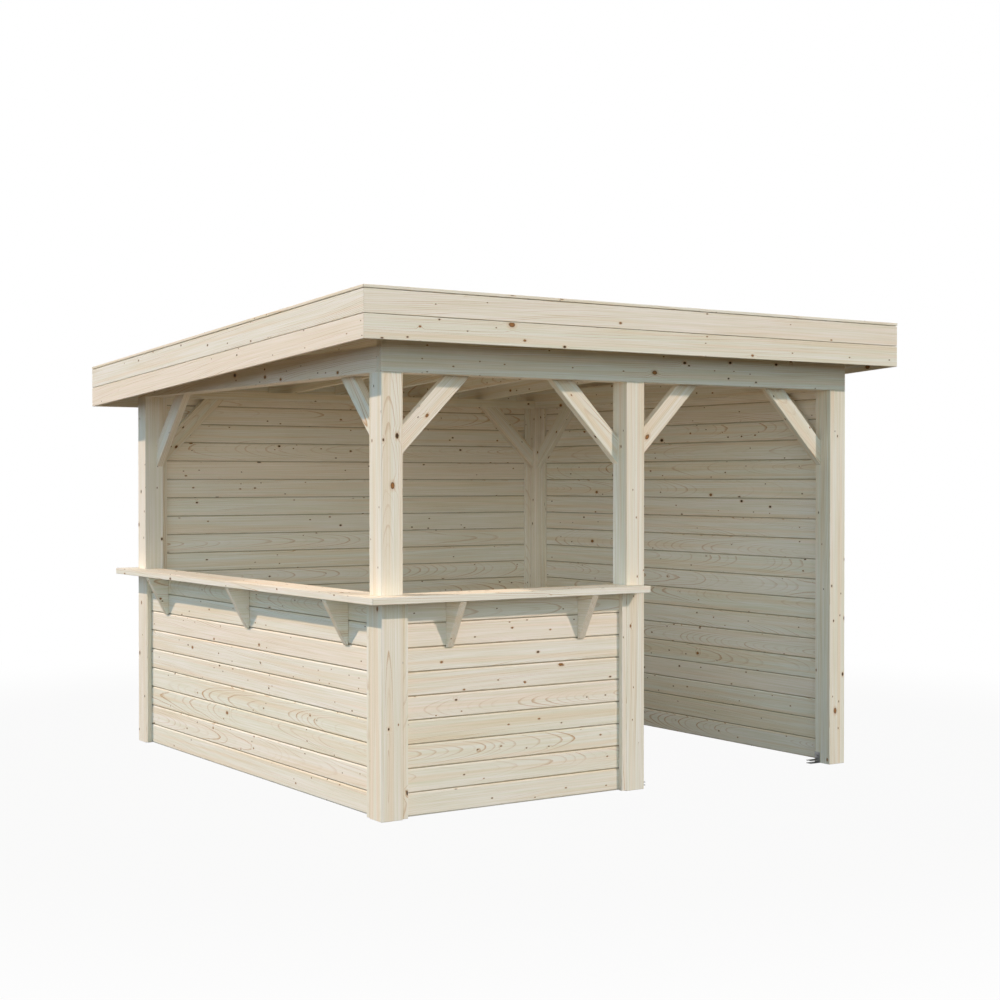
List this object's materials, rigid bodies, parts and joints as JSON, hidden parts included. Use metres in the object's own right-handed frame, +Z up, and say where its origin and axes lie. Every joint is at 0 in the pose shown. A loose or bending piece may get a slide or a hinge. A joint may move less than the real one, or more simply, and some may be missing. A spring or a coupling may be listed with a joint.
{
  "type": "market stall",
  "caption": "Open-fronted timber market stall with a single-pitch roof, boarded back and side walls, a low boarded front and a wrap-round counter on brackets.",
  "frame": {"origin": "on the ground, under the centre of the roof's outline", "axes": "+Z up; the front with the way in faces -Y; +X to the right for someone who faces the front"},
  "size_m": [3.548, 3.578, 2.5741],
  "materials": {
    "posts": "bare planed softwood, matt",
    "beams": "bare planed softwood, matt",
    "rafters": "bare planed softwood, matt",
    "roof_boards": "bare planed softwood, matt",
    "fascia_boards": "bare planed softwood, matt",
    "wall_boards": "bare planed softwood, matt",
    "battens": "bare planed softwood, matt",
    "counter": "bare planed softwood, matt",
    "steel": "galvanised, matt"
  },
  "bodies": {
    "root": {"post_front_left": "posts", "post_front_mid": "posts", "post_front_right": "posts", "post_back_left": "posts", "post_back_right": "posts", "beam_front": "beams", "beam_front_inner": "beams", "beam_back": "beams", "beam_left": "beams", "beam_right": "beams", "braces_front": "beams", "braces_left": "beams", "braces_back": "beams", "braces_right": "beams", "rafter_1": "rafters", "rafter_2": "rafters", "rafter_3": "rafters", "rafter_4": "rafters", "rafter_5": "rafters", "rafter_6": "rafters", "rafter_7": "rafters", "roof_deck": "roof_boards", "fascia_front": "fascia_boards", "fascia_back": "fascia_boards", "fascia_left": "fascia_boards", "fascia_right": "fascia_boards", "cover_board_front": "fascia_boards", "cover_board_back": "fascia_boards", "cover_board_left": "fascia_boards", "cover_board_right": "fascia_boards", "low_wall_front": "wall_boards", "low_wall_left": "wall_boards", "back_wall": "wall_boards", "right_wall": "wall_boards", "battens_front": "battens", "battens_back": "battens", "battens_left": "battens", "battens_right": "battens", "counter_front": "counter", "counter_left": "counter", "brackets_front": "counter", "brackets_left": "counter", "post_anchors": "steel"}
  },
  "joints": []
}
